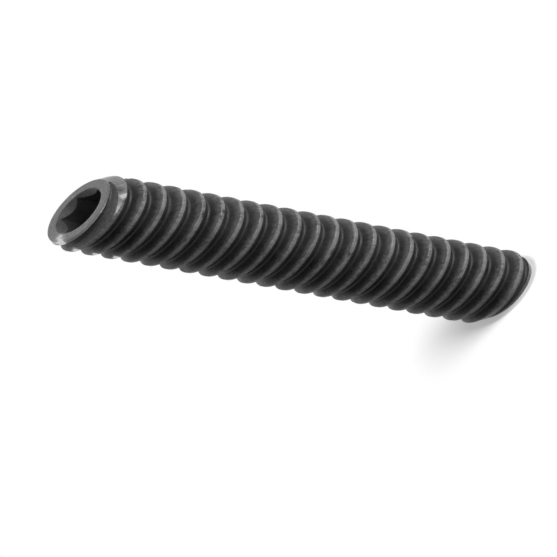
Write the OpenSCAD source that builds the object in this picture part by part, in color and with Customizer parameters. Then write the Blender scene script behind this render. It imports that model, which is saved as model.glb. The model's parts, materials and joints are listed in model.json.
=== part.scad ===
// Hex socket set screw: a headless screw with a coarse right-hand thread over its whole length,
// a hexagonal key socket in one end and a flat chamfered point at the other.
// It stands on its point. The origin is the middle of the point face and +Z runs to the socket.

/* [Thread] */
// Major diameter, across the thread crests
thread_d = 18.85; // [15.4:0.05:30]
// Pitch, from one crest to the next along the screw
pitch = 2.54; // [1.9:0.01:3.5]
// Width of the flat crest, along the screw
crest_w = 0.43; // [0.1:0.01:0.5]
// Width of the flat at the bottom of the groove, along the screw
root_w = 0.42; // [0.1:0.01:0.7]
// Included angle between the two flanks of the groove
flank_angle = 60; // [50:1:70]
// Angle round the screw that the thread starts at
thread_start = 0; // [0:5:355]

/* [Body] */
// Length over all, from point face to socket face
body_l = 57.15; // [20:0.05:75]
// Width and height of the 45 degree chamfer at the point
point_chamfer = 2; // [0.5:0.05:6]
// Width and height of the 45 degree chamfer at the socket end
socket_chamfer = 1.5; // [0.5:0.05:3.5]

/* [Key socket] */
// Width across the flats of the hexagonal socket
hex_af = 9.525; // [5:0.005:12]
// Depth of the flats, from the socket face
hex_depth = 9.6; // [4:0.1:20]
// How far the entry bevel opens past the hexagon's corners
mouth_bevel = 0.25; // [0.05:0.05:0.8]
// Included angle of the cone at the bottom of the socket
drill_angle = 118; // [90:1:140]

/* [Quality] */
// Facets round each turn of the thread
thread_facets = 40; // [24:1:54]

/* [Hidden] */
steel_black = [0.17, 0.17, 0.18];
overrun = 1; // how far a cut reaches past the face that it opens
round_facets = 96;

thread_r = thread_d / 2;
flank_w = (pitch - crest_w - root_w) / 2;
root_r = thread_r - flank_w / tan(flank_angle / 2);
point_r = thread_r - point_chamfer;
socket_face_r = thread_r - socket_chamfer;
hex_corner_r = hex_af / 2 / cos(30);
mouth_r = hex_corner_r + mouth_bevel;
drill_r = hex_af / 2;
drill_tip_h = drill_r / tan(drill_angle / 2);

// One pitch of the thread profile, as [share of the pitch, radius]: crest, flank, root, flank
profile = [
    [0, thread_r],
    [crest_w / pitch, thread_r],
    [(crest_w + flank_w) / pitch, root_r],
    [(crest_w + flank_w + root_w) / pitch, root_r]
];
steps = len(profile);
// The bar has a spare turn past each end, which the turned blank trims off
turns = ceil(body_l / pitch) + 3;
first_z = -2 * pitch;

// A point of the helicoid: c counts columns round the screw, n counts profile points up a column
function thread_point(c, n) =
    let (
        corner = profile[n % steps],
        angle = thread_start + 360 * c / thread_facets,
        z = first_z + pitch * (floor(n / steps) + corner[0] + c / thread_facets)
    )
    [corner[1] * cos(angle), corner[1] * sin(angle), z];

// A long bar with the thread rolled on it. After the last column the surface meets the first one
// again a pitch higher, and a fan of triangles from a point on the axis closes each end.
module thread_bar() {
    rows = turns * steps;
    column = rows + 1;
    last = thread_facets - 1;
    low_centre = thread_facets * column;
    high_centre = low_centre + 1;
    points = [
        for (c = [0:last], n = [0:rows]) thread_point(c, n),
        [0, 0, first_z + pitch / 2],
        [0, 0, first_z + pitch * (turns + 1 / 2)]
    ];
    sides = [
        for (c = [0:last], n = [0:rows - 1 - (c == last ? steps : 0)])
            let (
                low = c * column + n,
                next = c == last ? n + steps : low + column
            )
            each [[low, low + 1, next + 1], [low, next + 1, next]]
    ];
    low_rim = [
        for (n = [steps:-1:0]) n,
        for (c = [1:last]) c * column
    ];
    high_rim = [
        for (c = [0:last]) c * column + rows,
        for (n = [1:steps]) last * column + rows - n
    ];
    low_cap = [
        for (i = [0:len(low_rim) - 1])
            [low_centre, low_rim[i], low_rim[(i + 1) % len(low_rim)]]
    ];
    high_cap = [
        for (i = [0:len(high_rim) - 1])
            [high_centre, high_rim[(i + 1) % len(high_rim)], high_rim[i]]
    ];
    polyhedron(points, concat(sides, low_cap, high_cap), convexity = turns);
}

// The bar's outline as turned: flat faces and a chamfer at each end, clear of the thread between
module turned_blank() {
    rotate_extrude($fn = round_facets)
        polygon([
            [0, 0],
            [point_r, 0],
            [thread_r + overrun, point_chamfer + overrun],
            [thread_r + overrun, body_l - socket_chamfer - overrun],
            [socket_face_r, body_l],
            [0, body_l]
        ]);
}

// The hexagonal hole with its bevelled mouth and the drill's cone at the bottom
module key_socket() {
    translate([0, 0, body_l - hex_depth])
        cylinder(r = hex_corner_r, h = hex_depth + overrun, $fn = 6);
    translate([0, 0, body_l - hex_depth - drill_tip_h])
        cylinder(r1 = 0, r2 = drill_r, h = drill_tip_h, $fn = round_facets);
    translate([0, 0, body_l - mouth_r])
        cylinder(r1 = 0, r2 = mouth_r + overrun, h = mouth_r + overrun, $fn = round_facets);
}

module set_screw() {
    color(steel_black)
        difference() {
            intersection() {
                thread_bar();
                turned_blank();
            }
            key_socket();
        }
}

set_screw();
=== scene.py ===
import json
import math
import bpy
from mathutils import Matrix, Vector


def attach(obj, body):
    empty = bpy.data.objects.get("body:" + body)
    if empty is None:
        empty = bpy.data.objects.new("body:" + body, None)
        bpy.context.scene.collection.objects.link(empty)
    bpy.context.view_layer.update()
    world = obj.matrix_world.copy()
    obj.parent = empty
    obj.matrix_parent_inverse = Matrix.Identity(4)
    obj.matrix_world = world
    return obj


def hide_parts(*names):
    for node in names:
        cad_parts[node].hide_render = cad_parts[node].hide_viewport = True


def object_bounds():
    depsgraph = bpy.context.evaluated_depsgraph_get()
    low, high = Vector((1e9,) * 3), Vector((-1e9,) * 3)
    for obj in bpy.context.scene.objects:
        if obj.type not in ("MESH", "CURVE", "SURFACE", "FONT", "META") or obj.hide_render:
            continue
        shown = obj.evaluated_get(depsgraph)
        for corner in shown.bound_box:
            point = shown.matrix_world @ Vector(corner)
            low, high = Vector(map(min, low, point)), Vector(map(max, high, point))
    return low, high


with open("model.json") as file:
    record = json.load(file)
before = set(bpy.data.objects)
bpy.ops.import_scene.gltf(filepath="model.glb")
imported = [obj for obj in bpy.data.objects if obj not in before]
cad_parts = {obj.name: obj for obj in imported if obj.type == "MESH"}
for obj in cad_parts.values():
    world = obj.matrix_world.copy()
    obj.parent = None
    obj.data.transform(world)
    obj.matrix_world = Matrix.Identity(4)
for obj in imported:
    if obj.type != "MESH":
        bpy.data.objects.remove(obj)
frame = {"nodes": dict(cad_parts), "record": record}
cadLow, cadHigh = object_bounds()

from types import SimpleNamespace

import bmesh
import bpy
import numpy as np
from mathutils import Matrix, Vector

mm = 0.001
fullTurn = 2 * math.pi
mountDims = {mount["name"]: mount["dims"] for mount in frame["record"]["mounts"]}
boxSides = [round(side / mm, 2) for side in cadHigh - cadLow]
print("frame loaded:", len(frame["nodes"]), "node, box", boxSides, "mm")


# The view is set by the screw: which way its socket end points in the picture, how far it leans to the
# viewer, and where the middle of the socket face sits. Lengths are in crest radii of the screw.
camera = {
    "azimuth": 0,  # degrees round the standing screw
    "lean": 0.3150,  # sine of the angle that the view looks down at
    "roll": 0.3519,  # radians from the picture's left up to the socket end
    "faceAcross": -2.4716,  # middle of the socket face from the picture's middle, before the stretch
    "faceUp": 1.6904,
    "frameHeight": 14.160,
    "stretch": 2.019,  # how much wider than its true shape the screw is drawn
    "fieldOfView": 3.523,  # degrees, a long lens
    "sensor": 36,
    "clip": (0.05, 100),
}


def viewAxes():
    # back points from the screw to the camera; across and up are the picture's own directions, which are
    # the level ones turned by the roll, so that the screw's axis runs down to the right.
    lean = math.asin(camera["lean"])
    turn = math.radians(camera["azimuth"])
    back = Vector((math.sin(turn) * math.cos(lean), -math.cos(turn) * math.cos(lean), math.sin(lean)))
    level = Vector((math.cos(turn), math.sin(turn), 0))
    rise = back.cross(level)
    across = math.sin(camera["roll"]) * level - math.cos(camera["roll"]) * rise
    up = math.cos(camera["roll"]) * level + math.sin(camera["roll"]) * rise
    return across, up, back


def addCamera():
    # The camera hangs from an empty whose offset is a shear: the camera's own across direction leans
    # out of the picture plane until a step of it covers 1 / stretch of a step in the picture.
    across, up, back = viewAxes()
    radius = mountDims["thread"]["r_mm"] * mm
    shear = math.acos(1 / camera["stretch"])
    sheared = across * math.cos(shear) + back * math.sin(shear)
    aim = Vector((0, 0, cadHigh.z)) - radius * (camera["faceAcross"] * across + camera["faceUp"] * up)
    halfView = math.radians(camera["fieldOfView"]) / 2
    distance = radius * camera["frameHeight"] / 2 / math.tan(halfView)
    data = bpy.data.cameras.new("viewCamera")
    data.sensor_width = camera["sensor"]
    data.lens = camera["sensor"] / 2 / math.tan(halfView)
    data.clip_start, data.clip_end = camera["clip"]
    eye = bpy.data.objects.new("viewCamera", data)
    stand = bpy.data.objects.new("cameraStand", None)
    for thing in (eye, stand):
        bpy.context.scene.collection.objects.link(thing)
    eye.parent = stand
    axes = Matrix((sheared, up, back)).transposed().to_4x4()
    eye.matrix_parent_inverse = Matrix.Translation(aim + back * distance) @ axes
    bpy.context.scene.camera = eye
    print("camera set", round(distance, 2), "m away")


addCamera()


screw = {
    "length": cadHigh.z - cadLow.z,
    "crestRadius": mountDims["thread"]["r_mm"] * mm,
    "pitch": 2.54 * mm,
    "crestFlat": 0.43 * mm,
    "rootFlat": 0.42 * mm,  # the round root touches the middle of this flat and both flanks
    "flankAngle": 60,  # degrees between the two flanks of a groove
    "crestRounding": 0.1 * mm,
    "pointChamfer": 2.0 * mm,
    "socketChamfer": 1.5 * mm,
    "rimRounding": 0.16 * mm,  # between an end face and its chamfer
    "keyWidth": 2 * mountDims["hex_socket"]["r_mm"] * mm,
    "keyDepth": mountDims["hex_socket"]["length_mm"] * mm,
    "keyCornerRounding": 0.3 * mm,
    "mouthBevel": 0.25 * mm,  # how far the mouth opens past the hexagon's corners
    "mouthRounding": 0.1 * mm,
    "drillAngle": 118,  # degrees, of the cone at the bottom of the key socket
    # Handling nicks the crests of a rolled thread, and they are never quite even.
    "crestSeed": 11,
    "crestWaves": 9,
    "crestWavePace": (0.3, 6),  # slowest and quickest, in radians of wave to a radian of thread
    "crestWaveDepth": 0.02 * mm,
    "nicks": 90,
    "nickDepth": 0.16 * mm,
    "nickDepthSpread": (0.2, 1),
    "nickWidth": 0.045,  # radians along the thread
    "nickWidthSpread": (0.5, 1.6),
    "wornFrom": 0.7,  # share of the thread's height where the wear starts
    # How finely the surfaces are made. Rings lie at these shares of each stretch of the blank.
    "around": 168,  # columns round the screw, a multiple of twelve so that the hexagon's corners get one
    "spareTurns": 2,  # turns of thread past each end, which the blank trims off
    "blankClear": 1 * mm,  # how far the blank's waist stays outside the crests
    "cornerSteps": 4,
    "rootSteps": 7,
    "pointFaceRings": (0, 0.4, 0.8),
    "socketFaceRings": (0.7, 0.3),
    "keyWallRings": (0, 0.05, 0.2, 0.5, 0.8, 1),
    "drillConeRings": (1, 0.66, 0.33, 0),
    "pointGrid": 1e-8,  # metres; points on the same step of this grid are one
    "mergeReach": 0.0001 * mm,  # after the trim, points nearer than this become one
    "sliverReach": 0.001 * mm,  # and triangles thinner than this are dissolved
    "sharpAngle": 36,  # degrees between faces past which an edge is crisp
    "runOutAngle": 10,  # the same where a flank runs out on a chamfer
    "zoneReach": 0.02 * mm,  # how near a chamfer's cone the middle of a triangle on it lies
    "zoneSlant": 5.7,  # degrees that a triangle on a chamfer or a flat face may be off its direction
}
pointFaceRadius = screw["crestRadius"] - screw["pointChamfer"]
socketFaceRadius = screw["crestRadius"] - screw["socketChamfer"]
mouthRadius = screw["keyWidth"] / 2 / math.cos(math.pi / 6) + screw["mouthBevel"]
threadDepth = screw["pitch"] - screw["crestFlat"] - screw["rootFlat"]
threadDepth = threadDepth / 2 / math.tan(math.radians(screw["flankAngle"] / 2))


def arcPoints(radius, first, last, count):
    # Points on a circle about the origin, first and last in degrees from the upright, as (along, out).
    angle = np.radians(np.linspace(first, last, count))
    return radius * np.sin(angle), radius * np.cos(angle)


def threadProfile():
    # One pitch in section, from the start of a crest to the next: a rounded corner, a straight flank, a
    # round root that meets both flanks as a tangent, and the same again backwards.
    half = math.radians(screw["flankAngle"] / 2)
    turn = 90 - screw["flankAngle"] / 2
    pitch, crest, corner = screw["pitch"], screw["crestFlat"], screw["crestRounding"]
    rootRadius = screw["crestRadius"] - threadDepth
    rootRound = screw["rootFlat"] / 2 * math.cos(half) / (1 - math.sin(half))
    along, out = arcPoints(corner, 0, turn, screw["cornerSteps"])
    cornerZ = crest - corner * math.tan(math.radians(turn / 2)) + along
    cornerR = screw["crestRadius"] - corner + out
    along, out = arcPoints(rootRound, -turn, turn, screw["rootSteps"])
    rootZ = crest + (pitch - crest) / 2 + along
    rootR = rootRadius + rootRound - out
    share = np.array([1, 2]) / 3
    flankZ = cornerZ[-1] + share * (rootZ[0] - cornerZ[-1])
    flankR = cornerR[-1] + share * (rootR[0] - cornerR[-1])
    backZ, backR = pitch + crest - flankZ[::-1], flankR[::-1]
    nextZ, nextR = pitch + crest - cornerZ[::-1], cornerR[::-1]
    z = np.concatenate([cornerZ, flankZ, rootZ, backZ, nextZ])
    r = np.concatenate([cornerR, flankR, rootR, backR, nextR])
    return z, r


def crestLoss(alongThread):
    # How far the crest is worn below its full radius: depth * (1 + the mean of a few slow sines) along
    # the thread, and nicks with the section depth * exp(-(distance / width)^2) at scattered places.
    dice = np.random.default_rng(screw["crestSeed"])
    pace = dice.uniform(*screw["crestWavePace"], screw["crestWaves"])
    phase = dice.uniform(0, fullTurn, screw["crestWaves"])
    waves = np.sin(alongThread[..., None] * pace + phase).mean(-1)
    loss = screw["crestWaveDepth"] * (1 + waves)
    places = dice.uniform(alongThread.min(), alongThread.max(), screw["nicks"])
    depths = screw["nickDepth"] * dice.uniform(*screw["nickDepthSpread"], screw["nicks"]) ** 2
    widths = screw["nickWidth"] * dice.uniform(*screw["nickWidthSpread"], screw["nicks"])
    for place, depth, width in zip(places, depths, widths):
        loss += depth * np.exp(-(((alongThread - place) / width) ** 2))
    return loss


def gridTriangles(ids):
    # Two triangles for each cell of a grid of point numbers. A cell with a missing point (-1) gets none.
    a, b, c, d = ids[:-1, :-1], ids[1:, :-1], ids[1:, 1:], ids[:-1, 1:]
    halves = [np.stack(corners, -1).reshape(-1, 3) for corners in ((a, b, c), (a, c, d))]
    triangles = np.concatenate(halves)
    return triangles[(triangles >= 0).all(axis=1)]


def threadBar():
    # The helicoid: the column at angle a is the profile repeated up the bar, at (r cos a, r sin a,
    # z + pitch * a / a full turn), so after a full turn the surface meets its first column a pitch higher.
    # It starts and ends past the screw's faces, with a fan over each end.
    profileZ, profileR = threadProfile()
    spare = screw["spareTurns"]
    turns = np.arange(-spare, math.ceil(screw["length"] / screw["pitch"]) + spare)
    share = np.arange(screw["around"])[:, None] / screw["around"]
    z = (turns[:, None] * screw["pitch"] + profileZ).ravel() + share * screw["pitch"]
    alongThread = fullTurn * (share + np.repeat(turns, len(profileZ)))
    r = np.tile(profileR, len(turns))
    height = (r - screw["crestRadius"]) / threadDepth + 1
    r = r - crestLoss(alongThread) * np.clip((height - screw["wornFrom"]) / (1 - screw["wornFrom"]), 0, 1)
    angle = fullTurn * share
    points = np.stack([r * np.cos(angle), r * np.sin(angle), z], axis=-1)

    columns, rows = points.shape[:2]
    perPitch = len(profileZ)
    ids = np.arange(columns * rows).reshape(columns, rows)
    ids = np.vstack([ids, np.append(ids[0, perPitch:], np.full(perPitch, -1))])
    top = rows - 1
    lowRim = np.concatenate([ids[:-1, 0], ids[0, perPitch:0:-1]])
    highRim = np.concatenate([ids[:-1, top], ids[-2, top - 1:top - 1 - perPitch:-1]])
    lowMiddle, highMiddle = columns * rows, columns * rows + 1
    lowFan = np.stack([np.full(len(lowRim), lowMiddle), np.roll(lowRim, -1), lowRim], axis=-1)
    highFan = np.stack([np.full(len(highRim), highMiddle), highRim, np.roll(highRim, -1)], axis=-1)
    points = points.reshape(-1, 3)
    middles = [[0, 0, points[rim, 2].mean()] for rim in (lowRim, highRim)]
    return np.vstack([points, middles]), np.concatenate([gridTriangles(ids), lowFan, highFan])


def hexRadius(angle):
    # Distance from the axis to a hexagon with rounded corners: a flat is at half the key width over the
    # cosine of the angle from its middle, and near a corner it is the far side of the corner's circle.
    half, rounding = screw["keyWidth"] / 2, screw["keyCornerRounding"]
    fromCorner = np.abs((angle + math.pi / 6) % (math.pi / 3) - math.pi / 6)
    flat = half / np.cos(math.pi / 6 - fromCorner)
    centre = (half - rounding) / math.cos(math.pi / 6)
    reach = np.maximum(rounding**2 - (centre * np.sin(fromCorner)) ** 2, 0)
    arc = centre * np.cos(fromCorner) + np.sqrt(reach)
    tangent = math.atan2(rounding / 2, centre + rounding * math.cos(math.pi / 6))
    return np.where(fromCorner < tangent, arc, flat)


def bevelArc(rounding):
    # The rounded edge between a flat face and a 45 degree bevel: how far along and down from the face's
    # sharp edge each of its points is, from the face to the bevel.
    along, out = arcPoints(rounding, 0, 45, screw["cornerSteps"])
    return along - rounding * math.tan(math.radians(22.5)), rounding - out


def turnedBlank():
    # The blank is a sheet of two parameters, at (r cos a, r sin a, z): the angle a round the axis, and the
    # ring (r, z) along a path from the middle of the point face, out and up a chamfer, along the waist,
    # down the other chamfer, over the socket face and down the key socket to the tip of the drill's cone.
    angle = fullTurn * np.arange(screw["around"]) / screw["around"]
    length, waist = screw["length"], screw["crestRadius"] + screw["blankClear"]
    along, down = bevelArc(screw["rimRounding"])
    rings = [(pointFaceRadius * share, 0) for share in screw["pointFaceRings"]]
    rings += list(zip(pointFaceRadius + along, down))
    rings += [(waist, waist - pointFaceRadius), (waist, length - waist + socketFaceRadius)]
    rings += list(zip(socketFaceRadius + along, length - down))[::-1]
    faceWidth = socketFaceRadius - mouthRadius
    rings += [(mouthRadius + faceWidth * share, length) for share in screw["socketFaceRings"]]
    along, down = bevelArc(screw["mouthRounding"])
    rings += list(zip(mouthRadius - along, length - down))
    hexagon = hexRadius(angle)
    shoulder = length - (mouthRadius - hexagon)
    floorZ = length - screw["keyDepth"]
    rings += [(hexagon, shoulder + (floorZ - shoulder) * share) for share in screw["keyWallRings"]]
    drill = screw["keyWidth"] / 2
    tipDepth = drill / math.tan(math.radians(screw["drillAngle"] / 2))
    rings += [(drill * share, floorZ - tipDepth * (1 - share)) for share in screw["drillConeRings"]]

    r = np.stack([np.broadcast_to(ring[0], angle.shape) for ring in rings], axis=1)
    z = np.stack([np.broadcast_to(ring[1], angle.shape) for ring in rings], axis=1)
    points = np.stack([r * np.cos(angle)[:, None], r * np.sin(angle)[:, None], z], axis=-1)
    ids = np.arange(r.size).reshape(r.shape)
    return points.reshape(-1, 3), gridTriangles(np.vstack([ids, ids[0]]))


def solidFrom(name, points, triangles):
    # Points that coincide become one, and triangles with no area are left out, so the solid is closed.
    steps = np.round(points / screw["pointGrid"])
    _, keep, merged = np.unique(steps, axis=0, return_index=True, return_inverse=True)
    triangles = merged.reshape(-1)[triangles]
    i, j, k = triangles.T
    triangles = triangles[(i != j) & (j != k) & (k != i)]
    mesh = bpy.data.meshes.new(name)
    mesh.vertices.add(len(keep))
    mesh.vertices.foreach_set("co", points[keep].ravel())
    mesh.loops.add(triangles.size)
    mesh.loops.foreach_set("vertex_index", triangles.ravel())
    mesh.polygons.add(len(triangles))
    mesh.polygons.foreach_set("loop_start", np.arange(0, triangles.size, 3))
    mesh.update(calc_edges=True)
    solid = bpy.data.objects.new(name, mesh)
    bpy.context.scene.collection.objects.link(solid)
    return solid


def dropSlivers(mesh):
    # The trim leaves points that nearly coincide and triangles with no area along its cuts.
    work = bmesh.new()
    work.from_mesh(mesh)
    bmesh.ops.remove_doubles(work, verts=work.verts, dist=screw["mergeReach"])
    bmesh.ops.dissolve_degenerate(work, edges=work.edges, dist=screw["sliverReach"])
    bmesh.ops.triangulate(work, faces=work.faces)
    work.to_mesh(mesh)
    work.free()


def readMesh(mesh, kind, field, width):
    # One field of all the points, corners, edges or faces of a mesh: vectors as floats, or whole numbers.
    values = np.empty(len(getattr(mesh, kind)) * width, np.float32 if width == 3 else np.int32)
    getattr(mesh, kind).foreach_get(field, values)
    return values.reshape(-1, 3).astype(float) if width == 3 else values


def screwZones(mesh):
    # Which part of the screw each triangle lies on, told by where its middle is and which way it faces.
    corner = readMesh(mesh, "loops", "vertex_index", 1).reshape(-1, 3)
    place = readMesh(mesh, "vertices", "co", 3)[corner]
    normal = readMesh(mesh, "polygons", "normal", 3)
    middle = place.mean(axis=1)
    radius = np.hypot(middle[:, 0], middle[:, 1])
    low, high = middle[:, 2], screw["length"] - middle[:, 2]  # heights from the two end faces
    lowerHalf = low < high
    outward = (normal[:, :2] * middle[:, :2]).sum(axis=1) / np.maximum(radius, screw["pointGrid"])
    endward = np.where(lowerHalf, -normal[:, 2], normal[:, 2])
    coneRadius = np.minimum(pointFaceRadius + low, socketFaceRadius + high)
    sameWay = math.cos(math.radians(screw["zoneSlant"]))
    zones = SimpleNamespace(place=place, middle=middle, lowerHalf=lowerHalf)
    zones.chamfer = (outward + endward) * math.cos(math.pi / 4) > sameWay
    zones.chamfer &= coneRadius - radius < screw["zoneReach"]
    rimHeight = screw["rimRounding"] * (1 - math.cos(math.pi / 4))
    zones.rim = (np.minimum(low, high) < rimHeight) & ~zones.chamfer
    zones.flat = zones.rim & (np.abs(normal[:, 2]) > sameWay)
    zones.inside = ~lowerHalf & (high > screw["sliverReach"])
    zones.inside &= radius < (mouthRadius + socketFaceRadius) / 2
    zones.thread = ~(zones.chamfer | zones.rim | zones.inside)
    return zones


def markSharp(mesh, chamfer):
    # An edge is crisp past the sharp angle, and also where a flank runs out on a chamfer, because those
    # two meet at only 15 degrees.
    mesh.shade_smooth()
    mesh.set_sharp_from_angle(angle=math.radians(screw["sharpAngle"]))
    normal = readMesh(mesh, "polygons", "normal", 3)
    edge = readMesh(mesh, "loops", "edge_index", 1)
    pair = np.argsort(edge, kind="stable").reshape(-1, 2) // 3
    alike = (normal[pair[:, 0]] * normal[pair[:, 1]]).sum(axis=1)
    runOut = chamfer[pair[:, 0]] != chamfer[pair[:, 1]]
    runOut &= alike < math.cos(math.radians(screw["runOutAngle"]))
    layer = mesh.attributes.get("sharp_edge") or mesh.attributes.new("sharp_edge", "BOOLEAN", "EDGE")
    sharp = np.empty(len(mesh.edges), bool)
    layer.data.foreach_get("value", sharp)
    layer.data.foreach_set("value", sharp | runOut)


def makeScrew():
    # The thread is rolled on a long bar, and the turned blank trims it to length.
    bar = solidFrom("bar", *threadBar())
    blank = solidFrom("blank", *turnedBlank())
    trim = bar.modifiers.new("trim", "BOOLEAN")
    trim.operation = "INTERSECT"
    trim.solver = "EXACT"
    trim.object = blank
    bar.modifiers.new("cut", "TRIANGULATE").ngon_method = "CLIP"
    trimmed = bar.evaluated_get(bpy.context.evaluated_depsgraph_get())
    mesh = bpy.data.meshes.new_from_object(trimmed)
    mesh.name = "threadedScrew"
    for helper in (bar, blank):
        bpy.data.objects.remove(helper)
    dropSlivers(mesh)
    markSharp(mesh, screwZones(mesh).chamfer)
    piece = bpy.data.objects.new("threadedScrew", mesh)
    bpy.context.scene.collection.objects.link(piece)
    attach(piece, "root")
    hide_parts("set_screw")
    print("threadedScrew made:", len(mesh.vertices), "points,", len(mesh.polygons), "triangles")
    return piece


screwPiece = makeScrew()


# Black oxide is a soft satin black. Wear runs from 0, untouched, past 1, where bare steel begins to show.
# A range is the low and high input, and what each of them gives where that isn't 0 and 1.
oxide = {
    "dark": (0.022, 0.022, 0.023, 1),
    "light": (0.078, 0.078, 0.080, 1),
    "worn": (0.200, 0.198, 0.195, 1),
    # bare steel at the worn spots, which also paint glints
    "bareGlint": (0.54, 0.53, 0.52, 1),
    # painted shade: the near-black of the grooves' roots and of the key socket
    "paintedShadeTone": (0.006, 0.006, 0.006, 1),
    "specular": 0.25,
    "speckle": (1500, 4, 0.7),  # noise cells a metre, detail and roughness
    "patch": (240, 3, 0.5),
    "grain": (2600, 3, 0.6),
    "streak": (2.0, 26, 90),  # noise cells a radian, a pitch and a millimetre of radius
    "streakNoise": (1, 2, 0.55),
    "latheMarks": 9,  # noise cells a millimetre of radius
    "grainDepth": 0.020 * mm,
    "streakDepth": 0.010 * mm,
    "latheDepth": 0.008 * mm,
    "speckleTone": (0.38, 0.64),
    "patchTone": (0.35, 0.7, 0, 0.5),
    # how strong the painted shade is, varied by the patch noise
    "paintedShade": (0.2, 0.8, 0.95, 0.6),
    "speckleWear": (0.3, 0.7, -0.25, 0.2),
    "patchWear": (0.3, 0.7, -0.3, 0.2),
    "wornTone": (0.45, 0.95, 0, 0.75),
    "bareGlintTone": (1.2, 1.65),
    "patchRoughness": (0.3, 0.7, 0.36, 0.56),
    "streakRoughness": (0.3, 0.7, -0.05, 0.05),
    "wearSmooths": (0.4, 1.0, 0, 0.14),
    "grooveRoughens": 0.06,
    "turningSmooths": 0.16,
    "crestWearFrom": 0.85,  # share of the thread's height
    "faceWear": 0.5,
    "chamferWear": 0.75,
    "chamferEdgeWear": 0.35,  # more of it within the edge reach
    "edgeReach": 0.2 * mm,
    "rimWear": 0.9,
    "mouthWear": 0.5,
    "mouthReach": 0.03,  # share of the key socket's depth
    "grooveTop": 0.75,  # share of the thread's height where the painted shade of the groove ends
    "socketShade": (0.5, 0.3),  # painted shade at the mouth, and the share of the depth that adds 1
    "glintSpotWear": 1.45,
    "spotEnds": (0.25, 0.5),  # painted shade between which a bare spot gives out
    "glintSpots": (  # x, y, z and reach in mm of places by the socket rubbed to bare steel, which also paint glints there
        (5.10, -7.80, 55.80, 0.80),
        (-6.70, -0.30, 57.15, 1.50),
        (-7.90, -2.20, 56.90, 1.10),
        (-8.85, -3.10, 55.20, 0.90),
        (-8.92, -2.85, 52.65, 0.90),
        (-8.80, -3.20, 50.12, 0.80),
    ),
}


def paintGrooveShade(zones, height, depth):
    # Painted shade: 1 at the bottom of a groove, falling straight to 0 at the groove's top. It also grows
    # down the socket.
    atMouth, reach = oxide["socketShade"]
    paintedShade = np.where(zones.thread[:, None], np.clip(1 - height / oxide["grooveTop"], 0, 1), 0)
    return np.where(zones.inside[:, None], np.clip(atMouth + depth / reach, 0, 1), paintedShade)


def edgeWear(zones, radius, height, depth, paintedShade):
    # Straight up from the start of the crest, exp(-distance / reach) off an edge or down the socket, and
    # exp(-(distance / reach)^2) round a bare spot, which also paints a glint, except down in the grooves.
    crest = np.clip((height - oxide["crestWearFrom"]) / (1 - oxide["crestWearFrom"]), 0, 1)
    wear = np.where(zones.thread[:, None], crest, oxide["faceWear"])
    endFace = np.where(zones.lowerHalf, pointFaceRadius, socketFaceRadius)[:, None]
    fromEdges = (np.abs(radius - endFace), np.abs(screw["crestRadius"] - radius))
    edges = sum(np.exp(-distance / oxide["edgeReach"]) for distance in fromEdges)
    chamfer = oxide["chamferWear"] + oxide["chamferEdgeWear"] * np.clip(edges, 0, 1)
    wear = np.where(zones.chamfer[:, None], chamfer, wear)
    wear = np.where((zones.rim & ~zones.flat)[:, None], oxide["rimWear"], wear)
    wear = np.where(zones.inside[:, None], oxide["mouthWear"] * np.exp(-depth / oxide["mouthReach"]), wear)
    low, high = oxide["spotEnds"]
    glintSpotWear = oxide["glintSpotWear"] * np.clip((high - paintedShade) / (high - low), 0, 1)
    for x, y, z, reach in oxide["glintSpots"]:
        away = np.linalg.norm(zones.place / mm - (x, y, z), axis=-1)
        wear = wear + glintSpotWear * np.exp(-((away / reach) ** 2))
    return wear


def threadPlace(zones, radius):
    # The place on the helix: z / pitch - angle / a full turn counts pitches, whose whole part is the turn.
    # The angle is taken from the face's middle, so no face straddles the jump from one turn to the next.
    middle, place = zones.middle, zones.place
    middleAngle = np.arctan2(middle[:, 1], middle[:, 0])[:, None]
    angle = np.arctan2(place[..., 1], place[..., 0])
    angle = middleAngle + (angle - middleAngle + math.pi) % fullTurn - math.pi
    turn = np.floor(middle[:, 2:] / screw["pitch"] - middleAngle / fullTurn)
    pitches = place[..., 2] / screw["pitch"] - angle / fullTurn - turn
    return np.stack([angle + fullTurn * turn, pitches, radius / mm], axis=-1)


def storeFinish(mesh):
    # What the finish needs to know at each corner of each face: how much painted shade it gets and how
    # worn it is, whether it was turned on the lathe, and its place on the helix.
    zones = screwZones(mesh)
    radius = np.hypot(zones.place[..., 0], zones.place[..., 1])
    height = np.clip((radius - screw["crestRadius"]) / threadDepth + 1, 0, 1)
    depth = np.clip((screw["length"] - zones.place[..., 2]) / screw["keyDepth"], 0, 1)
    paintedShade = paintGrooveShade(zones, height, depth)
    turned = np.repeat(~zones.thread & ~zones.inside, 3)
    values = {"wear": edgeWear(zones, radius, height, depth, paintedShade), "groove": paintedShade, "turned": turned}
    for label, value in values.items():
        layer = mesh.attributes.new(label, "FLOAT", "CORNER")
        layer.data.foreach_set("value", value.astype(np.float32).ravel())
    layer = mesh.attributes.new("helix", "FLOAT_VECTOR", "CORNER")
    layer.data.foreach_set("vector", threadPlace(zones, radius).astype(np.float32).ravel())


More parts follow.
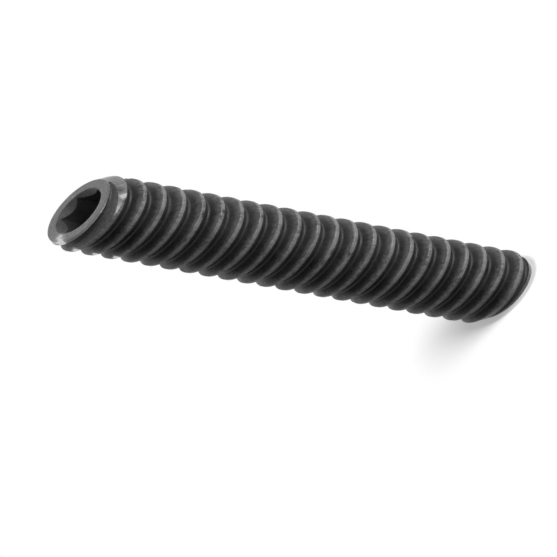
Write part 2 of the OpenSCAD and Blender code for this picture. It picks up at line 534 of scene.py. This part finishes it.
def nodeMaker(tree):
    # Empties a node tree and gives short calls that add nodes to it, each returning what the node puts out.
    tree.nodes.clear()

    def add(kind, sockets=None, **settings):
        # sockets says what each input holds or is linked to. This call returns the node itself.
        node = tree.nodes.new(kind)
        for field, value in settings.items():
            setattr(node, field, value)
        for socket, value in (sockets or {}).items():
            if isinstance(value, bpy.types.NodeSocket):
                tree.links.new(value, node.inputs[socket])
            else:
                node.inputs[socket].default_value = value
        return node

    def noise(place, scale, detail, rough):
        sockets = {"Vector": place, "Scale": scale, "Detail": detail, "Roughness": rough}
        return add("ShaderNodeTexNoise", sockets).outputs["Fac"]

    def span(value, low, high, toLow=0.0, toHigh=1.0):
        return add("ShaderNodeMapRange", {0: value, 1: low, 2: high, 3: toLow, 4: toHigh}).outputs[0]

    def maths(operation, first, second):
        return add("ShaderNodeMath", {0: first, 1: second}, operation=operation).outputs[0]

    def blend(factor, first, second):
        node = add("ShaderNodeMix", {"Factor": factor, "A": first, "B": second}, data_type="RGBA")
        return node.outputs[2]

    def bump(height, depth, under=None):
        sockets = {"Height": height, "Distance": depth, "Strength": 1}
        if under is not None:
            sockets["Normal"] = under
        return add("ShaderNodeBump", sockets).outputs[0]

    def attribute(label, output="Fac"):
        return add("ShaderNodeAttribute", attribute_name=label).outputs[output]

    return SimpleNamespace(add=add, noise=noise, span=span, maths=maths, blend=blend, bump=bump,
                           attribute=attribute)


def newMaterial(name):
    material = bpy.data.materials.new(name)
    material.use_nodes = True
    return material, nodeMaker(material.node_tree)


def blackOxide():
    material, make = newMaterial("blackOxideSteel")
    place = make.add("ShaderNodeTexCoord").outputs["Object"]
    helix = make.attribute("helix", "Vector")
    turned = make.attribute("turned")
    groove = make.attribute("groove")
    drawn = make.add("ShaderNodeVectorMath", {0: helix, 1: oxide["streak"]}, operation="MULTIPLY")
    streak = make.noise(drawn.outputs[0], *oxide["streakNoise"])
    speckle = make.noise(place, *oxide["speckle"])
    patch = make.noise(place, *oxide["patch"])

    tint = make.blend(make.span(speckle, *oxide["speckleTone"]), oxide["dark"], oxide["light"])
    tint = make.blend(make.span(patch, *oxide["patchTone"]), tint, oxide["light"])
    # Painted shade darkens the grooves toward their roots and the key socket toward its bottom.
    paintedShade = make.maths("MULTIPLY", groove, make.span(patch, *oxide["paintedShade"]))
    tint = make.blend(paintedShade, tint, oxide["paintedShadeTone"])
    wear = make.maths("ADD", make.attribute("wear"), make.span(speckle, *oxide["speckleWear"]))
    wear = make.maths("ADD", wear, make.span(patch, *oxide["patchWear"]))
    tint = make.blend(make.span(wear, *oxide["wornTone"]), tint, oxide["worn"])
    # Bare steel shows at the spots: worn through, and painted glints as well.
    bareGlint = make.span(wear, *oxide["bareGlintTone"])
    tint = make.blend(bareGlint, tint, oxide["bareGlint"])

    roughness = make.span(patch, *oxide["patchRoughness"])
    roughness = make.maths("ADD", roughness, make.span(streak, *oxide["streakRoughness"]))
    roughness = make.maths("ADD", roughness, make.maths("MULTIPLY", groove, oxide["grooveRoughens"]))
    roughness = make.maths("SUBTRACT", roughness, make.maths("MULTIPLY", turned, oxide["turningSmooths"]))
    roughness = make.maths("SUBTRACT", roughness, make.span(wear, *oxide["wearSmooths"]))

    # Fine grain all over, streaks along the rolled thread, and lathe marks round the turned faces.
    normal = make.bump(make.noise(place, *oxide["grain"]), oxide["grainDepth"])
    rolled = make.maths("MULTIPLY", streak, make.maths("SUBTRACT", 1, turned))
    normal = make.bump(rolled, oxide["streakDepth"], normal)
    radius = make.add("ShaderNodeSeparateXYZ", {0: helix}).outputs[2]
    sockets = {"W": radius, "Scale": oxide["latheMarks"], "Detail": 3}
    rings = make.add("ShaderNodeTexNoise", sockets, noise_dimensions="1D").outputs["Fac"]
    normal = make.bump(make.maths("MULTIPLY", rings, turned), oxide["latheDepth"], normal)

    sockets = {"Base Color": tint, "Metallic": bareGlint, "Roughness": roughness, "Normal": normal}
    shader = make.add("ShaderNodeBsdfPrincipled", {**sockets, "Specular IOR Level": oxide["specular"]})
    make.add("ShaderNodeOutputMaterial", {"Surface": shader.outputs[0]})
    return material


storeFinish(screwPiece.data)
screwPiece.data.materials.append(blackOxide())
print("finish made")


studio = {
    "floorSize": 8.0,
    "paper": 0.45,  # the grey that lights the screw from below
    "floorLit": 0.95,  # what the eye sees instead: nearly white paper with a glow of its own
    "floorGlow": 0.35,
    "fade": (0.0105, 0.025),  # how far out its shading starts and ends giving way to plain white
    "ambient": 0.14,
    "lamps": {
        "key": {"toward": (0.94, -0.33, 0.11), "distance": 1.2, "size": 0.7, "power": 20},
        "top": {"toward": (0.26, -0.28, 1), "distance": 1.4, "size": 0.5, "power": 9},
    },
}


def whiteToEye(make):
    # 1 where the view, a reflection or a refraction looks, so that all three see plain white.
    path = make.add("ShaderNodeLightPath")
    seen = make.maths("MAXIMUM", path.outputs["Is Camera Ray"], path.outputs["Is Glossy Ray"])
    return make.maths("MAXIMUM", seen, path.outputs["Is Transmission Ray"])


def paleFloor():
    material, make = newMaterial("paleFloor")

    def paper(grey):
        return make.add("ShaderNodeBsdfDiffuse", {"Color": (grey, grey, grey, 1)}).outputs[0]

    def glow(strength):
        return make.add("ShaderNodeEmission", {"Color": (1, 1, 1, 1), "Strength": strength}).outputs[0]

    def mix(factor, first, second):
        return make.add("ShaderNodeMixShader", {0: factor, 1: first, 2: second}).outputs[0]

    shaded = {0: paper(studio["floorLit"]), 1: glow(studio["floorGlow"])}
    shaded = make.add("ShaderNodeAddShader", shaded).outputs[0]
    place = make.add("ShaderNodeTexCoord").outputs["Object"]
    reach = make.add("ShaderNodeVectorMath", {0: place}, operation="LENGTH").outputs["Value"]
    toEye = mix(make.span(reach, *studio["fade"]), shaded, glow(1))
    surface = mix(whiteToEye(make), paper(studio["paper"]), toEye)
    make.add("ShaderNodeOutputMaterial", {"Surface": surface})
    return material


def addFloor():
    half = studio["floorSize"] / 2
    corners = [(-half, -half, 0), (half, -half, 0), (half, half, 0), (-half, half, 0)]
    mesh = bpy.data.meshes.new("floor")
    mesh.from_pydata(corners, [], [(0, 1, 2, 3)])
    mesh.materials.append(paleFloor())
    floor = bpy.data.objects.new("floor", mesh)
    bpy.context.scene.collection.objects.link(floor)


def addWorld():
    world = bpy.data.worlds.new("studio")
    world.use_nodes = True
    make = nodeMaker(world.node_tree)
    strength = make.span(whiteToEye(make), 0, 1, studio["ambient"], 1)
    sky = make.add("ShaderNodeBackground", {"Color": (1, 1, 1, 1), "Strength": strength}).outputs[0]
    make.add("ShaderNodeOutputWorld", {"Surface": sky})
    bpy.context.scene.world = world


def addLamp(name, lamp):
    # A round lamp that faces the middle of the screw.
    data = bpy.data.lights.new(name, "AREA")
    data.shape = "DISK"
    data.size = lamp["size"]
    data.energy = lamp["power"]
    toward = Vector(lamp["toward"])
    body = bpy.data.objects.new(name, data)
    bpy.context.scene.collection.objects.link(body)
    body.location = Vector((0, 0, cadHigh.z / 2)) + toward.normalized() * lamp["distance"]
    body.rotation_mode = "QUATERNION"
    body.rotation_quaternion = toward.to_track_quat("Z", "Y")


addFloor()
addWorld()
for lampName, lampSettings in studio["lamps"].items():
    addLamp(lampName, lampSettings)
bpy.context.scene.view_settings.view_transform = "Standard"
print("floor, sky and lamps set")

print("scene ready")
